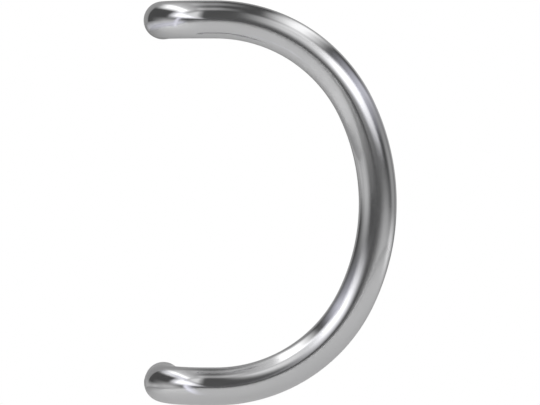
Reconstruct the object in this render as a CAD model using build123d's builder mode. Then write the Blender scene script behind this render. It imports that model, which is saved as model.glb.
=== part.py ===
from build123d import *
from math import cos, radians, sin
import os

# A bow pull handle for a door: a bent, polished steel tube with a tapped insert welded into each end.
# Frame: the door's face is the plane y = 0, and the handle stands out from it along -Y. The two fixing holes lie on
# the Z axis, as far above the origin as below it, and the bow swings out along +X. All sizes are in millimetres.

# Tube
tube_diameter = 30.0
tube_wall = 2.0
end_chamfer = 0.5

# Bends, in order from the door
fixing_centres = 290.0
leg_length = 18.0
elbow_radius = 35.0
run_length = 8.0
shoulder_radius = 123.0
shoulder_angle = 64.0

# Tapped inserts
insert_setback = 3.0
insert_clearance = 0.05
insert_chamfer = 1.0
thread_diameter = 8.0
thread_pitch = 1.25
mouth_margin = 0.2
mouth_angle = 120.0

# The bow lies in a plane parallel to the door. Its middle is one arc that leaves both shoulders tangent, so its
# radius and centre follow from the fixing centres and the shoulder bend.
fixing_z = fixing_centres / 2
bow_y = -(leg_length + elbow_radius)
bow_start_x = elbow_radius + run_length
shoulder_turn = radians(shoulder_angle)
shoulder_end_x = bow_start_x + shoulder_radius * sin(shoulder_turn)
shoulder_end_z = fixing_z - shoulder_radius * (1 - cos(shoulder_turn))

# The insert slides into the tube and stops short of the elbow. Its hole is drilled for the tap.
tube_bore = tube_diameter - 2 * tube_wall
insert_diameter = tube_bore - 2 * insert_clearance
insert_length = leg_length - insert_setback
tap_hole_diameter = thread_diameter - thread_pitch
mouth_diameter = thread_diameter + mouth_margin

os.makedirs("parts", exist_ok=True)

# Bar: one ring section swept along the bent centreline, from the upper fixing to the lower one.
with BuildPart() as bar:
    with BuildLine() as centreline:
        leg = Line((0, 0, fixing_z), (0, -leg_length, fixing_z))
        elbow = TangentArc(leg @ 1, (elbow_radius, bow_y, fixing_z), tangent=leg % 1)
        run = Line(elbow @ 1, (bow_start_x, bow_y, fixing_z))
        shoulder = TangentArc(run @ 1, (shoulder_end_x, bow_y, shoulder_end_z), tangent=run % 1)
        mirror(about=Plane.XY)
        TangentArc(shoulder @ 1, (shoulder_end_x, bow_y, -shoulder_end_z), tangent=shoulder % 1)
    with BuildSketch(Plane(leg @ 0, x_dir=(1, 0, 0), z_dir=leg % 0)):
        Circle(tube_diameter / 2)
        Circle(tube_bore / 2, mode=Mode.SUBTRACT)
    sweep(path=centreline.wire())
    end_edges = bar.edges().group_by(Axis.Y)[-1]
    chamfer(end_edges.filter_by(lambda edge: edge.radius > tube_bore / 2), end_chamfer)
bar.part.label = "bar"
export_step(bar.part, "parts/bar.step")

# Inserts: turned plugs, flush with the ends of the legs, tapped right through for the fixing bolts.
for side, name in ((1, "upper_insert"), (-1, "lower_insert")):
    door_end = Plane((0, 0, side * fixing_z), z_dir=(0, 1, 0))
    with BuildPart() as insert:
        with BuildSketch(door_end):
            Circle(insert_diameter / 2)
        extrude(amount=-insert_length)
        chamfer(insert.edges().sort_by(Axis.Y)[0], insert_chamfer)
        with Locations(door_end):
            CounterSinkHole(tap_hole_diameter / 2, mouth_diameter / 2, counter_sink_angle=mouth_angle)
    insert.part.label = name
    export_step(insert.part, f"parts/{name}.step")
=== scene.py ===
# %% [markdown]
# # A bow pull handle in polished steel tube
#
# The handle is one length of round stainless tube, bent in two planes and polished bright. A steel plug,
# tapped for a fixing bolt, closes each end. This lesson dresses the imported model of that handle: it bends
# a fine tube with spins, cuts a real thread into the plugs, and lights the steel the way a product
# photographer would.

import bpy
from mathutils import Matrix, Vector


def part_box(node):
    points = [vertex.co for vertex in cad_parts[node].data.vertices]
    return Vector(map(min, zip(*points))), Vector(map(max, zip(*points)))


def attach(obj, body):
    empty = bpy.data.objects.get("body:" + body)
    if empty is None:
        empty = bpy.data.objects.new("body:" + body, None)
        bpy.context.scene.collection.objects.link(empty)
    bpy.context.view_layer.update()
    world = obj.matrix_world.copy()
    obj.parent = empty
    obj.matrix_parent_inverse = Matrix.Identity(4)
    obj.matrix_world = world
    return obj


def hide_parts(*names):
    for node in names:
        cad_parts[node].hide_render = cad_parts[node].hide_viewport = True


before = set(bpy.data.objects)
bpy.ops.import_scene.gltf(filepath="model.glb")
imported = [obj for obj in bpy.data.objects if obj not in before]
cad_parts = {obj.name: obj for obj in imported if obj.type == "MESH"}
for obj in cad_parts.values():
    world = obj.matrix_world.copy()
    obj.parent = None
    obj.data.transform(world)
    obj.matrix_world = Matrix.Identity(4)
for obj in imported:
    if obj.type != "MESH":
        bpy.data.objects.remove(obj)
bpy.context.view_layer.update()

# %% [markdown]
# ## Sizes
#
# The bar's box gives the tube's radius, the height of its two legs and the plane of the bow, and a plug's
# box gives the plug's radius and length. Only the bends can't be read from a box, so they are written
# down here. The flatter middle of the bow then follows, because it leaves both shoulders without a kink.
# Everything is in metres, and the door's face is the plane y = 0.

# %% Read the sizes and lay out the bends
from math import ceil, cos, pi, radians, sin, tan

bar_low, bar_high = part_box("bar")
plug_low, plug_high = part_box("upper_insert")
tube_radius = -bar_low.x
fixing_z = bar_high.z - tube_radius
bow_y = bar_low.y + tube_radius
plug_radius = (plug_high.x - plug_low.x) / 2
plug_length = plug_high.y - plug_low.y

wall = 0.002
end_chamfer = 0.0005
elbow_radius = 0.035
run_length = 0.008
shoulder_radius = 0.123
shoulder_angle = radians(64)

leg_length = -bow_y - elbow_radius
bow_start_x = elbow_radius + run_length
shoulder_end_x = bow_start_x + shoulder_radius * sin(shoulder_angle)
shoulder_end_z = fixing_z - shoulder_radius * (1 - cos(shoulder_angle))
middle_angle = pi - 2 * shoulder_angle
middle_radius = shoulder_end_z / cos(shoulder_angle)
middle_x = shoulder_end_x - middle_radius * sin(shoulder_angle)
print(f"tube {tube_radius * 2:.4f}, legs at z = {fixing_z:.4f}, middle bend {middle_radius:.4f}")

# %% [markdown]
# ## The camera
#
# The handle is seen square on from the room side, from a little above, through a long lens that keeps its
# two legs almost the same size. A camera can be placed by eye, or by the angle, distance and aim that the
# picture implies. Numbers are chosen here, because the bow has to land on the same pixels each time.

# %% Place the camera
import bpy
from mathutils import Matrix, Vector

picture_width = 540
focal_length_in_pixels = 3247
sensor_width = 36
camera_distance = 2.5639
camera_height_angle = radians(2.013)
camera_aim = Vector((0.08597, bow_y, 0.0006))

scene = bpy.context.scene
scene.view_settings.view_transform = "Standard"
camera_data = bpy.data.cameras.new("camera")
camera_data.sensor_width = sensor_width
camera_data.lens = sensor_width * focal_length_in_pixels / picture_width
camera = bpy.data.objects.new("camera", camera_data)
towards_camera = Vector((0, -cos(camera_height_angle), sin(camera_height_angle)))
camera.location = camera_aim + camera_distance * towards_camera
camera.rotation_euler = (pi / 2 - camera_height_angle, 0, 0)
scene.collection.objects.link(camera)
scene.camera = camera
print(f"camera at {camera.location[:]}, lens {camera_data.lens:.1f} mm")

# %% [markdown]
# ## Writing shaders as sums
#
# A finish is a small formula: a pattern, scaled and added to a base value. Nodes can be wired one by one,
# but a formula reads better, so a wire is wrapped in a class whose arithmetic adds the Math nodes. One
# method adds any other node: its settings come first, then the values or wires of its sockets.

# %% Wrap a socket
class Wire:
    """An output socket of a node tree. Arithmetic on it adds Math nodes to the tree."""

    def __init__(self, tree, socket=None):
        self.tree = tree
        self.socket = socket

    def node(self, kind, settings=None, inputs=None, output=0):
        """Adds a node, sets it up, connects its inputs, and returns a wire on one of its outputs."""
        made = self.tree.nodes.new(kind)
        for name, value in (settings or {}).items():
            setattr(made, name, value)
        for name, value in (inputs or {}).items():
            if isinstance(value, Wire):
                self.tree.links.new(value.socket, made.inputs[name])
            else:
                made.inputs[name].default_value = value
        return Wire(self.tree, made.outputs[output])

    def other(self, output):
        """Another output of the node that this wire leaves."""
        return Wire(self.tree, self.socket.node.outputs[output])

    def show_on(self, output):
        """Connects this wire, which carries a finished shader, to an output node."""
        self.tree.links.new(self.socket, output.inputs["Surface"])

    def math(self, operation, first, second=0.0):
        return self.node("ShaderNodeMath", {"operation": operation}, {0: first, 1: second})

    def __add__(self, value):
        return self.math("ADD", self, value)

    def __radd__(self, value):
        return self.math("ADD", value, self)

    def __sub__(self, value):
        return self.math("SUBTRACT", self, value)

    def __rsub__(self, value):
        return self.math("SUBTRACT", value, self)

    def __mul__(self, value):
        return self.math("MULTIPLY", self, value)

    def __rmul__(self, value):
        return self.math("MULTIPLY", value, self)


print("wires ready")

# %% [markdown]
# Every material starts empty. Blender gives a new one a shader of its own, but it is clearer to add each
# node on purpose, so the tree is emptied and only an output is put back. Both kinds of steel on the
# handle then end in the same bare metal, whose colour, roughness and relief vary over it.

# %% Start a finish
def new_finish(name):
    """An empty material, the bare wire that its nodes start from, and its output node."""
    finish = bpy.data.materials.new(name)
    finish.use_nodes = True
    finish.node_tree.nodes.clear()
    output = finish.node_tree.nodes.new("ShaderNodeOutputMaterial")
    return finish, Wire(finish.node_tree), output


def bare_metal(start, brightness, blue, roughness, relief):
    """A metal whose red and green are its brightness, with a blue of its own."""
    colour = start.node("ShaderNodeCombineColor", inputs={
        "Red": brightness, "Green": brightness, "Blue": blue})
    return start.node("ShaderNodeBsdfPrincipled", inputs={
        "Base Color": colour, "Metallic": 1.0, "Roughness": roughness, "Normal": relief})


print("finishes ready")

# %% [markdown]
# ## Polished tube
#
# The tube was ground with belts that run along it and then buffed, so up close its gloss has faint lines
# that follow every bend, and broad cloudy patches where the buff lingered. A pattern on plain object
# coordinates would run straight through the bends. Each vertex of the tube therefore remembers where it
# was on the straight tube, and the noise is read there: fine across the tube, and long along it.

# %% Mix the polished steel
straight_place = "straight_tube"
noise_middle = 0.5
line_scale = 2600
line_stretch = (1, 1, 0.012)
line_height = 0.00002
line_strength = 0.02
cloud_scale = 28
polished_roughness = 0.12
roughness_swing = 0.04
polished_brightness = 0.61
brightness_swing = 0.03
blue_cast = 1.01

polished_steel, start, output = new_finish("polished_steel")
place = start.node("ShaderNodeAttribute", {"attribute_name": straight_place}, output="Vector")
along_belt = start.node("ShaderNodeVectorMath", {"operation": "MULTIPLY"}, {0: place, 1: line_stretch})
belt_lines = start.node("ShaderNodeTexNoise", inputs={
    "Vector": along_belt, "Scale": line_scale, "Detail": 4})
clouds = start.node("ShaderNodeTexNoise", inputs={"Vector": place, "Scale": cloud_scale, "Detail": 3})
unevenness = (belt_lines - noise_middle) + (clouds - noise_middle)
roughness = polished_roughness + roughness_swing * unevenness
brightness = polished_brightness + brightness_swing * (clouds - noise_middle)
relief = start.node("ShaderNodeBump", inputs={
    "Strength": line_strength, "Distance": line_height, "Height": belt_lines}, output="Normal")
bare_metal(start, brightness, brightness * blue_cast, roughness, relief).show_on(output)
print("polished steel:", len(polished_steel.node_tree.nodes), "nodes")

# %% [markdown]
# ## The bent tube
#
# A tube bender pulls a straight tube round one former after another. A curve with a round bevel would
# give the same shape, but its rings couldn't be told where the straights end. Here the tube grows as it
# does on the bender: an open ring starts at the upper foot, and spins pull it along each straight and
# round each bend.

# %% Start with a ring at the upper foot
import bmesh

ring_sides = 96

tube = bmesh.new()
straight = tube.verts.layers.float_vector.new(straight_place)
to_upper_foot = Matrix.Translation((0, 0, fixing_z)) @ Matrix.Rotation(pi / 2, 4, "X")
first_ring = bmesh.ops.create_circle(tube, segments=ring_sides, radius=tube_radius, matrix=to_upper_foot)
for vert in first_ring["verts"]:
    vert[straight] = (vert.co.x, vert.co.z - fixing_z, 0)
print("first ring:", len(tube.edges), "edges")

# %% [markdown]
# A spin can take many steps at once, but each new ring also has to be told how far it lies along the
# straight tube. So the ring is pulled one step at a time: sideways by a vector on a straight, round an
# axis in a bend.

# %% Pull, push and bend
step_length = 0.0032


def pull(ring, length, steps, **motion):
    """Extrudes the open ring step by step and returns the ring at the far end."""
    for _ in range(steps):
        pulled = bmesh.ops.spin(tube, geom=ring, steps=1, **motion)
        ring = [part for part in pulled["geom_last"] if isinstance(part, bmesh.types.BMEdge)]
        for vert in {vert for edge in ring for vert in edge.verts}:
            vert[straight] = vert[straight] + Vector((0, 0, length / steps))
    return ring


def push(ring, direction, length):
    """A straight stretch."""
    steps = ceil(length / step_length)
    return pull(ring, length, steps, dvec=Vector(direction) * length / steps)


def bend(ring, centre, axis, radius, angle):
    """A bend round one former, in an even number of steps so that a ring stands at its middle."""
    steps = 2 * ceil(radius * angle / step_length / 2)
    return pull(ring, radius * angle, steps, cent=centre, axis=axis, angle=angle / steps)


print("a ring every", step_length, "or less")

# %% [markdown]
# From the upper foot the tube goes out from the door, round the elbow, through the shoulder, the flatter
# middle and the other shoulder, and back to the door. The bow turns about the direction that points at
# the door, and each elbow about the vertical.

# %% Follow the bends
out_of_the_door = (0, -1, 0)
into_the_door = (0, 1, 0)
upper_shoulder = (bow_start_x, bow_y, fixing_z - shoulder_radius)
lower_shoulder = (bow_start_x, bow_y, shoulder_radius - fixing_z)

ring = push(tube.edges[:], out_of_the_door, leg_length)
ring = bend(ring, (elbow_radius, -leg_length, fixing_z), (0, 0, 1), elbow_radius, pi / 2)
ring = push(ring, (1, 0, 0), run_length)
ring = bend(ring, upper_shoulder, into_the_door, shoulder_radius, shoulder_angle)
ring = bend(ring, (middle_x, bow_y, 0), into_the_door, middle_radius, middle_angle)
ring = bend(ring, lower_shoulder, into_the_door, shoulder_radius, shoulder_angle)
ring = push(ring, (-1, 0, 0), run_length)
ring = bend(ring, (elbow_radius, -leg_length, -fixing_z), (0, 0, -1), elbow_radius, pi / 2)
push(ring, into_the_door, leg_length)
bmesh.ops.recalc_face_normals(tube, faces=tube.faces[:])
tube_length = max(vert[straight].z for vert in tube.verts)
print(f"tube skin: {len(tube.faces)} faces, {tube_length:.4f} m along its middle")

# %% [markdown]
# The wall is 2 mm thick. The skin is the outside of the tube, so the wall grows inwards from it, and the
# rings left at the two feet close as flat ends. A polisher breaks the sharp outer edge there, which the
# bevel does.

# %% Give the tube its wall and feet
at_the_door = 1e-6
corner_angle = radians(45)
skin_faces = len(tube.faces)
bmesh.ops.solidify(tube, geom=tube.faces[:], thickness=wall)


def on_outer_rim(vert):
    """True at the door's face, on the outside of the tube."""
    from_leg = Vector((vert.co.x, abs(vert.co.z) - fixing_z))
    return abs(vert.co.y) < at_the_door and from_leg.length > tube_radius - wall / 2


foot_edges = [edge for edge in tube.edges
              if all(on_outer_rim(vert) for vert in edge.verts)
              and abs(edge.calc_face_angle(0)) > corner_angle]
bmesh.ops.bevel(tube, geom=foot_edges, offset=end_chamfer, offset_type="OFFSET", affect="EDGES", segments=2,
                profile=0.5, material=-1)
print(f"tube wall: {skin_faces} faces became {len(tube.faces)}, {len(foot_edges)} foot edges broken")

# %% [markdown]
# A bmesh is only a sketch until it becomes an object. Each finished piece is shaded smooth, with its real
# corners kept sharp, rides on the handle's one body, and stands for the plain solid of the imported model.

# %% Make the tube a piece
smooth_below = radians(30)


def finish_piece(name, mesh_in_progress, finish, node):
    """Turns a bmesh into a piece that rides on the body and stands for its node."""
    for face in mesh_in_progress.faces:
        face.smooth = True
    for edge in mesh_in_progress.edges:
        edge.smooth = edge.calc_face_angle(0) < smooth_below
    mesh = bpy.data.meshes.new(name)
    mesh_in_progress.to_mesh(mesh)
    mesh_in_progress.free()
    mesh.materials.append(finish)
    piece = bpy.data.objects.new(name, mesh)
    scene.collection.objects.link(piece)
    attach(piece, "root")
    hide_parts(node)
    print(f"{name}: {len(mesh.polygons)} faces, size {piece.dimensions[:]}")


finish_piece("bent_tube", tube, polished_steel, "bar")

# %% [markdown]
# ## Turned steel
#
# The plugs came off a lathe and were never polished. A facing tool leaves a fine spiral that reads as
# rings round the hole, and a little unevenness in its shine. Rings could be modelled, but at a fifth of a
# millimetre they are texture. So the finish measures how far a point lies from the axis of its own hole,
# and ripples with that distance.

# %% Mix the turned steel
tool_feed = 0.0002
ring_height = 0.000006
ring_strength = 0.5
chatter_scale = 900
chatter_swing = 3
patch_scale = 160
turned_roughness = 0.3
ring_roughness = 0.04
patch_roughness = 0.12
turned_brightness = 0.5
ring_brightness = 0.02
patch_brightness = 0.08

turned_steel, start, output = new_finish("turned_steel")
position = start.node("ShaderNodeTexCoord", output="Object")
sideways = start.node("ShaderNodeSeparateXYZ", inputs={"Vector": position}, output="X")
upwards = start.math("ABSOLUTE", sideways.other("Z")) - fixing_z
from_axis = start.math("SQRT", sideways * sideways + upwards * upwards)
chatter = start.node("ShaderNodeTexNoise", inputs={"Vector": position, "Scale": chatter_scale, "Detail": 3})
patches = start.node("ShaderNodeTexNoise", inputs={"Vector": position, "Scale": patch_scale, "Detail": 2})
rings = start.math("SINE", from_axis * (2 * pi / tool_feed) + chatter_swing * (chatter - noise_middle))
roughness = turned_roughness + ring_roughness * rings + patch_roughness * (patches - noise_middle)
brightness = turned_brightness + ring_brightness * rings + patch_brightness * (patches - noise_middle)
relief = start.node("ShaderNodeBump", inputs={
    "Strength": ring_strength, "Distance": ring_height, "Height": rings}, output="Normal")
bare_metal(start, brightness, brightness, roughness, relief).show_on(output)
print("turned steel:", len(turned_steel.node_tree.nodes), "nodes")

# %% [markdown]
# ## The thread
#
# Each plug is tapped right through for the fixing bolt, with a common 8 mm thread. A thread can be faked
# with a stack of rings or a bump, but a bolt winds its way in, so this one winds too. Five points give
# the section of one turn: a land, a flank, the flat of the groove and the other flank.

# %% Set out the thread
thread_radius = 0.004
thread_pitch = 0.00125
flank_angle = radians(30)
mouth_margin = 0.0001
mouth_slope = radians(30)
millimetres = 1000

tap_hole_radius = thread_radius - thread_pitch / 2
groove_flat = thread_pitch / 8
flank = (thread_radius - tap_hole_radius) * tan(flank_angle)
land = thread_pitch - groove_flat - 2 * flank
mouth_radius = thread_radius + mouth_margin
mouth_depth = (mouth_radius - tap_hole_radius) * tan(mouth_slope)
print(f"thread: a land of {land * millimetres:.3f} mm, a mouth {mouth_depth * millimetres:.3f} mm deep")

# %% [markdown]
# A spin that also drops by a pitch each turn sweeps the section into a helix. Neighbouring turns then
# share their edges, and two flat cuts trim the helix to the plug.

# %% Wind the thread
thread_sides = 64
spare_turns = 2
merge_distance = 1e-6
cut_distance = 1e-8
turns = ceil(plug_length / thread_pitch) + spare_turns
print(f"thread: {turns} turns of {thread_sides} steps")


def edges_of(parts):
    """The edges among some bmesh parts."""
    return [part for part in parts if isinstance(part, bmesh.types.BMEdge)]


def trim(mesh_in_progress, level, outwards):
    """Cuts away all that lies past a level along Y and returns the loop left at the cut."""
    everything = mesh_in_progress.verts[:] + mesh_in_progress.edges[:] + mesh_in_progress.faces[:]
    cut = bmesh.ops.bisect_plane(mesh_in_progress, geom=everything, dist=cut_distance,
                                 plane_co=(0, level, 0), plane_no=(0, outwards, 0), clear_outer=True)
    return edges_of(cut["geom_cut"])


def wind_thread(plug):
    """A tapped hole along Y, one turn longer than the plug at each end and then trimmed."""
    section = [(tap_hole_radius, 0), (tap_hole_radius, land), (thread_radius, land + flank),
               (thread_radius, land + flank + groove_flat), (tap_hole_radius, thread_pitch)]
    points = [plug.verts.new((radius, thread_pitch - depth, 0)) for radius, depth in section]
    lines = [plug.edges.new(pair) for pair in zip(points, points[1:])]
    bmesh.ops.spin(plug, geom=points + lines, steps=turns * thread_sides, angle=turns * 2 * pi,
                   axis=out_of_the_door, dvec=(0, -thread_pitch / thread_sides, 0))
    bmesh.ops.remove_doubles(plug, verts=plug.verts[:], dist=merge_distance)
    front = trim(plug, -mouth_depth, 1)
    back = trim(plug, -plug_length, -1)
    return front, back


# %% [markdown]
# ## The plugs
#
# Round the thread goes the plug itself: a flat face, a side that runs back into the tube, a chamfer at
# its hidden end, and a countersunk mouth so that the bolt starts easily. The mouth's round edge is drawn
# first and pulled outwards and back into those surfaces. The end of a thread wanders in and out, so its
# loop can't be matched point by point with a round one. The gap between them is filled with triangles
# instead.

# %% Turn the plugs
plug_chamfer = 0.001
facing_the_door = Matrix.Rotation(pi / 2, 4, "X")


def pull_out(plug, edges, depth, growth):
    """Extrudes a loop away from the door, widening it as it goes, and returns the loop at the far end."""
    made = bmesh.ops.extrude_edge_only(plug, edges=edges)["geom"]
    moved = [part for part in made if isinstance(part, bmesh.types.BMVert)]
    bmesh.ops.scale(plug, verts=moved, vec=(growth, 1, growth))
    bmesh.ops.translate(plug, verts=moved, vec=(0, -depth, 0))
    return [edge for edge in edges_of(made) if all(vert in moved for vert in edge.verts)]


def turn_plug(name, node, height):
    """One tapped plug, flush with the door's face, at a given height."""
    plug = bmesh.new()
    thread_front, thread_back = wind_thread(plug)
    circle = bmesh.ops.create_circle(plug, segments=thread_sides, radius=mouth_radius,
                                     matrix=facing_the_door)
    mouth = [edge for edge in plug.edges if all(vert in circle["verts"] for vert in edge.verts)]
    rim = pull_out(plug, mouth, 0, plug_radius / mouth_radius)
    shoulder = pull_out(plug, rim, plug_length - plug_chamfer, 1)
    end = pull_out(plug, shoulder, plug_chamfer, 1 - plug_chamfer / plug_radius)
    bmesh.ops.triangle_fill(plug, edges=mouth + thread_front, normal=into_the_door, use_beauty=True)
    bmesh.ops.triangle_fill(plug, edges=end + thread_back, normal=out_of_the_door, use_beauty=True)
    bmesh.ops.recalc_face_normals(plug, faces=plug.faces[:])
    bmesh.ops.translate(plug, verts=plug.verts[:], vec=(0, 0, height))
    open_edges = sum(not edge.is_manifold for edge in plug.edges)
    volume = plug.calc_volume() * millimetres ** 3
    print(f"{name}: {open_edges} open edges, {volume:.0f} cubic millimetres")
    finish_piece(name, plug, turned_steel, node)


turn_plug("upper_plug", "upper_insert", fixing_z)
turn_plug("lower_plug", "lower_insert", -fixing_z)

# %% [markdown]
# ## A pale floor
#
# The handle hangs in the air as it would on a door, so the floor lies well below it, out of the picture.
# It still matters: its pale light fills the underside of the polished tube. A cove that curves up into a
# wall would hide the floor's far edge, but the steel would mirror the wall. So the floor is a wide flat
# disc, and to the camera it fades into the white behind. The steel sees only a little of that haze.

# %% Mix the floor's paint
white = (1, 1, 1, 1)
floor_grey = (0.71, 0.71, 0.71, 1)
fade_start = 0.3
fade_end = 1.7
haze_in_steel = 0.06

floor_paint, start, output = new_finish("floor_paint")
position = start.node("ShaderNodeTexCoord", output="Object")
flat = start.node("ShaderNodeVectorMath", {"operation": "MULTIPLY"}, {0: position, 1: (1, 1, 0)})
reach = start.node("ShaderNodeVectorMath", {"operation": "LENGTH"}, {0: flat}, output="Value")
fade = start.node("ShaderNodeMapRange", {"interpolation_type": "SMOOTHSTEP"},
                  {"Value": reach, "From Min": fade_start, "From Max": fade_end})
path = start.node("ShaderNodeLightPath", output="Is Camera Ray")
seen = path + haze_in_steel * (path.other("Is Glossy Ray") + path.other("Is Transmission Ray"))
paint = start.node("ShaderNodeBsdfDiffuse", inputs={"Color": floor_grey})
haze = start.node("ShaderNodeEmission", inputs={"Color": white})
start.node("ShaderNodeMixShader", inputs={"Fac": fade * seen, 1: paint, 2: haze}).show_on(output)
print("floor paint:", len(floor_paint.node_tree.nodes), "nodes")

# %% [markdown]
# The floor belongs to the studio and not to the handle, so it rides on no body, like everything else
# that is hung round the handle from here on.

# %% Lay the floor
floor_z = -0.45
floor_radius = 8.0
floor_sides = 128

floor_mesh = bmesh.new()
bmesh.ops.create_circle(floor_mesh, cap_ends=True, segments=floor_sides, radius=floor_radius,
                        matrix=Matrix.Translation((0, 0, floor_z)))


def set_on_stage(name, mesh_in_progress, *finishes):
    """Turns a bmesh into a thing of the studio, which isn't part of the handle."""
    mesh = bpy.data.meshes.new(name)
    mesh_in_progress.to_mesh(mesh)
    mesh_in_progress.free()
    for finish in finishes:
        mesh.materials.append(finish)
    thing = bpy.data.objects.new(name, mesh)
    scene.collection.objects.link(thing)
    return thing


floor = set_on_stage("floor", floor_mesh, floor_paint)
print("floor:", floor.dimensions[:])

# %% [markdown]
# ## Dark cloth round the studio
#
# Polished metal shows nothing but its surroundings, so in an all-white room it looks like chalk.
# Photographers hang dark cloth out of the picture to draw the dark bands that make steel look like steel.
# The cloth is a big tent that only reflections can see. Its back wall is a paler grey, which lifts the
# very edges of the tube off the white.

# %% Hang the dark cloth
cloth_radius = 12.0
cloth_panels = 96
dark_glow = 0.1
grey_glow = 0.38
back_wall_angle = radians(45)


def show_in_reflections_only(thing):
    """Only mirror-like surfaces see it: it neither lights the floor nor shades it."""
    thing.visible_camera = False
    thing.visible_diffuse = False
    thing.visible_transmission = False
    thing.visible_shadow = False


def cloth(name, glow):
    """Cloth that glows a little, as lit cloth does, without a lamp of its own."""
    finish, start, output = new_finish(name)
    start.node("ShaderNodeEmission", inputs={"Color": white, "Strength": glow}).show_on(output)
    return finish


cloth_mesh = bmesh.new()
bmesh.ops.create_uvsphere(cloth_mesh, u_segments=cloth_panels, v_segments=cloth_panels, radius=cloth_radius,
                          matrix=Matrix.Rotation(-pi / 2, 4, "X"))
for face in cloth_mesh.faces:
    face.material_index = int(face.calc_center_median().y > cloth_radius * cos(back_wall_angle))
dark_cloth = set_on_stage("dark_cloth", cloth_mesh, cloth("dark_cloth", dark_glow),
                          cloth("grey_cloth", grey_glow))
show_in_reflections_only(dark_cloth)
print("dark cloth:", len(dark_cloth.data.polygons), "faces")

# %% [markdown]
# ## Glowing panels
#
# Two big soft boxes in front, left and right, draw the bright streaks on the elbows and along the bow.
# Strips overhead and along the walls draw the thinner lines, and dimmer panels soften the step into the
# dark. Area lamps could stand in for them, but a lamp's face is evenly lit and a real soft box fades
# towards its edges. So the panels are painted on clear sheets that only reflections can see. A panel is a
# strength and its soft edges, and an edge runs from where the panel is dark to where it is fully lit.

# %% Shine through clear sheets
def shine(finish, output, measures, *lights):
    """Paints a clear sheet with lights: colours and their panels, each a strength and its soft edges."""
    start = Wire(finish.node_tree)
    cover = 0
    shader = None
    for colour, panels in lights:
        glow = 0
        for strength, *edges in panels:
            lit = 1
            for measure, dark, full in edges:
                lit = lit * start.node("ShaderNodeMapRange", inputs={
                    "Value": measures[measure], "From Min": dark, "From Max": full})
            glow = strength * lit + glow
            cover = lit + cover
        light = start.node("ShaderNodeEmission", inputs={"Color": colour, "Strength": glow})
        shader = start.node("ShaderNodeAddShader", inputs={0: shader, 1: light}) if shader else light
    left_clear = 1 - start.math("MINIMUM", cover, 1)
    clear_colour = start.node("ShaderNodeCombineColor",
                              inputs={"Red": left_clear, "Green": left_clear, "Blue": left_clear})
    clear = start.node("ShaderNodeBsdfTransparent", inputs={"Color": clear_colour})
    start.node("ShaderNodeAddShader", inputs={0: clear, 1: shader}).show_on(output)
    print(f"{finish.name}: {len(finish.node_tree.nodes)} nodes")


print("clear sheets ready")

# %% [markdown]
# Most of the panels hang on clear round tents, one inside the other. A place on a tent is measured in
# degrees: how far away it lies from the camera's line, its turn round that line, clockwise from straight
# up, its side, left or right of the camera, and its height.

# %% Measure places on a tent
studio_centre = Vector((0.086, bow_y, 0))
tent_columns = 128
tent_rows = 64


def panel_tent(name, distance, *lights):
    """A clear round tent at some distance from the handle, painted with lights."""
    finish, start, output = new_finish(name)
    position = start.node("ShaderNodeTexCoord", output="Object")
    from_centre = start.node("ShaderNodeVectorMath", {"operation": "SUBTRACT"},
                             {0: position, 1: studio_centre})
    outward = start.node("ShaderNodeVectorMath", {"operation": "NORMALIZE"}, {0: from_centre})
    right = start.node("ShaderNodeSeparateXYZ", inputs={"Vector": outward}, output="X")
    forward = 0 - right.other("Y")
    up = right.other("Z")
    angles = {
        "away": start.math("ARCCOSINE", forward),
        "turn": start.math("ARCTAN2", right, up),
        "side": start.math("ARCTAN2", right, forward),
        "height": start.math("ARCSINE", up),
    }
    measures = {measure: start.math("DEGREES", angle) for measure, angle in angles.items()}
    shine(finish, output, measures, *lights)
    tent_mesh = bmesh.new()
    bmesh.ops.create_uvsphere(tent_mesh, u_segments=tent_columns, v_segments=tent_rows, radius=distance,
                              matrix=Matrix.Translation(studio_centre))
    show_in_reflections_only(set_on_stage(name, tent_mesh, finish))


print("tents hang round", studio_centre[:])

# %% [markdown]
# The soft boxes and the strips hang far away, so every bend of the tube sees them in almost the same
# direction. The soft boxes are faintly blue, and the strips behind the right one are bluer, which gives
# the steel its cool lines.

# %% Hang the far panels
far_distance = 6.0
box_white = (0.97, 0.97, 1, 1)
cool_white = (0.9, 0.9, 1, 1)

soft_boxes = [
    (2.0, ("turn", -83, -66), ("turn", -33, -54), ("away", 0, 37), ("away", 79, 59)),
    (1.9, ("turn", 84, 62), ("turn", 39, 57), ("height", 4, 12), ("away", 0, 33), ("away", 70, 55)),
]
cool_strips = [
    (0.85, ("turn", 42, 58), ("turn", 75, 62), ("away", 56, 66), ("away", 122, 98)),
    (0.5, ("turn", 54, 63), ("turn", 76, 66), ("away", 92, 108), ("away", 150, 118)),
]
left_strips = [
    (1.8, ("turn", -49, -39), ("turn", -27, -33), ("away", 55, 67), ("away", 138, 108)),
    (0.9, ("turn", -36, -30), ("turn", 2, -28), ("away", 50, 62), ("away", 146, 120)),
]
overhead_panels = [
    (0.4, ("turn", -16, -10), ("turn", 9, 0), ("away", 53, 62), ("away", 78, 69)),
    (0.32, ("turn", -16, -10), ("turn", 12, 2), ("away", 86, 98), ("away", 124, 108)),
]
right_strips = [
    (0.98, ("turn", 6, 24), ("turn", 60, 50), ("away", 6, 28), ("away", 62, 48)),
    (0.42, ("turn", 20, 45), ("turn", 95, 72), ("away", 24, 6)),
    (1.6, ("turn", 15, 27), ("turn", 42, 31), ("away", 44, 72), ("away", 120, 96)),
    (1.6, ("turn", 18, 29), ("turn", 43, 33), ("away", 96, 120), ("away", 146, 122)),
]
back_panels = [
    (0.48, ("turn", 28, 44), ("away", 126, 146)),
]
panel_tent("far_panels", far_distance, (box_white, soft_boxes), (cool_white, cool_strips),
           (white, left_strips + overhead_panels + right_strips + back_panels))

# %% [markdown]
# Low panels stand on the floor at both sides and carry its light a little way up the dark cloth. One more
# panel hangs closest of all, up on the left. The nearer a panel is, the more its place shifts from one
# elbow to the other.

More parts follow.
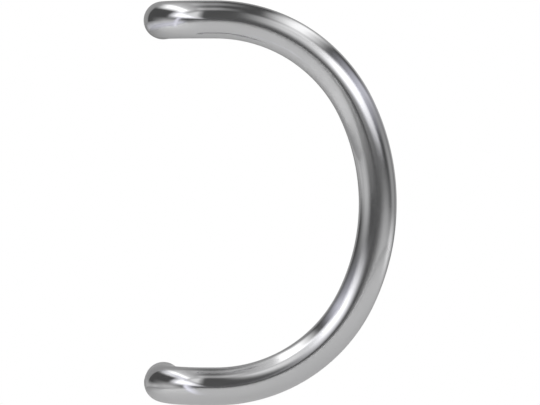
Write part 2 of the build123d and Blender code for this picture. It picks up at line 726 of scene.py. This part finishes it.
# %% Stand the low panels and hang the near one
low_distance = 2.0
near_distance = 1.15

low_panels = [
    (0.7, ("height", 16, -4), ("turn", -60, -75), ("away", 40, 66), ("away", 118, 84)),
    (0.55, ("height", 2, -8), ("turn", -60, -75), ("away", 90, 110), ("away", 160, 140)),
    (0.72, ("height", 9, -14), ("turn", 60, 75), ("away", 14, 44), ("away", 86, 60)),
    (0.45, ("height", 50, 10), ("turn", 56, 70), ("away", 80, 98), ("away", 140, 112)),
    (0.6, ("height", -4, -12), ("turn", 70, 85), ("away", 60, 88), ("away", 150, 124)),
]
near_panels = [
    (1.05, ("side", -9, -21), ("turn", -52, -40), ("away", 62, 48)),
]
panel_tent("low_panels", low_distance, (white, low_panels))
panel_tent("near_panels", near_distance, (white, near_panels))

# %% [markdown]
# ## Cards
#
# Three glowing cards stand much closer. Like the panels they light nothing, and only reflections see them.
# A long one on the left paints the cool line inside the lower half of the bow. Two small ones paint a soft
# smear of reflected light below the bright streak of each elbow, and they are tilted so that the rest of
# the handle sees them edge on. More panels on the tents could not do this, because both elbows would see
# them. A card is brightest along its middle and fades towards its sides and ends.

# %% Stand the cards
def stand_card(name, centre, across, along, half_width, half_length, strength, fades):
    """A card spanned by two directions. A fade runs from dark to lit, in shares of its half length."""
    middle = Vector(centre)
    across = Vector(across).normalized()
    along = Vector(along).normalized()
    finish, start, output = new_finish(name)
    position = start.node("ShaderNodeTexCoord", output="Object")
    from_middle = start.node("ShaderNodeVectorMath", {"operation": "SUBTRACT"}, {0: position, 1: middle})
    measures = {}
    for measure, direction in (("across", across), ("along", along)):
        measures[measure] = start.node("ShaderNodeVectorMath", {"operation": "DOT_PRODUCT"},
                                       {0: from_middle, 1: direction}, output="Value")
    sides = [("across", -half_width, 0), ("across", half_width, 0)]
    ends = [("along", dark * half_length, lit * half_length) for dark, lit in fades]
    shine(finish, output, measures, (cool_white, [(strength, *sides, *ends)]))
    card_mesh = bmesh.new()
    turned = Matrix((across, along, across.cross(along))).transposed().to_4x4()
    bmesh.ops.create_grid(card_mesh, x_segments=1, y_segments=1, size=1,
                          matrix=Matrix.Diagonal((half_width, half_length, 1, 1)))
    bmesh.ops.transform(card_mesh, verts=card_mesh.verts[:], matrix=Matrix.Translation(middle) @ turned)
    show_in_reflections_only(set_on_stage(name, card_mesh, finish))


# The cards glow on their own: painted light that only the steel mirrors, as the cool line and the elbow
# smears.
stand_card("left_card", centre=(-0.15, -0.02, 0.076), across=(0, 0, 1), along=(0, 1, 0), half_width=0.052,
           half_length=0.29, strength=1.0, fades=[(-1, -0.65), (1, -0.24)])
stand_card("upper_card", centre=(-0.15, -0.156, 0.087), across=(1, 0.05, 0.02), along=(0, 0.44, -0.9),
           half_width=0.05, half_length=0.12, strength=1.3, fades=[(-1, -0.85), (1, 0.33)])
stand_card("lower_card", centre=(-0.035, -0.158, -0.178), across=(0.74, 0.53, 0.42),
           along=(0.45, 0.07, -0.89), half_width=0.06, half_length=0.085, strength=1.5,
           fades=[(-1, -0.6), (1, 0.1)])

# %% [markdown]
# ## Lamps
#
# The panels are what the steel mirrors. What lights the floor, and throws the handle's soft shadow on it,
# is plain lamps: one in line with each soft box, and one overhead. Four more stand low, on the left, on
# the right and in front, and lay brighter pools on the floor, which the polished tube mirrors. A lamp's
# own face would add a hard square to the streaks, so the lamps are hidden from the steel.

# %% Set up the lamps
def lamp(name, place, size, power):
    """A square soft lamp that faces the handle and doesn't show in the steel."""
    light = bpy.data.lights.new(name, "AREA")
    light.size = size
    light.energy = power
    holder = bpy.data.objects.new(name, light)
    holder.location = place
    holder.rotation_euler = (studio_centre - Vector(place)).to_track_quat("-Z", "Y").to_euler()
    holder.visible_camera = False
    holder.visible_glossy = False
    scene.collection.objects.link(holder)
    print(f"{name}: {power} W at {place}")


lamp("left_lamp", place=(-1.2, -1.2, 0.6), size=0.9, power=13)
lamp("right_lamp", place=(1.2, -1.0, 0.7), size=0.9, power=8.5)
lamp("overhead_lamp", place=(-0.2, 0.1, 1.8), size=1.4, power=11)
lamp("left_spill", place=(-1.05, -0.2, 0.15), size=0.6, power=4)
lamp("right_spill", place=(2.0, 0.5, 0.2), size=0.5, power=12)
lamp("front_left_spill", place=(-0.6, -3.5, 0.15), size=0.5, power=8)
lamp("front_right_spill", place=(0.6, -2.3, 0.15), size=0.5, power=6)

# %% [markdown]
# ## White behind
#
# The background is plain white to the camera and to whatever mirrors it. Only the light that it throws on
# matt surfaces is kept lower, so that the floor keeps the handle's shadow.

# %% Paint the world
fill_light = 0.24

world = bpy.data.worlds.new("white_room")
world.use_nodes = True
world.node_tree.nodes.clear()
start = Wire(world.node_tree)
output = world.node_tree.nodes.new("ShaderNodeOutputWorld")
path = start.node("ShaderNodeLightPath", output="Is Camera Ray")
seen = path + path.other("Is Glossy Ray") + path.other("Is Transmission Ray")
strength = fill_light + (1 - fill_light) * seen
start.node("ShaderNodeBackground", inputs={"Color": white, "Strength": strength}).show_on(output)
scene.world = world
print("world:", len(world.node_tree.nodes), "nodes")
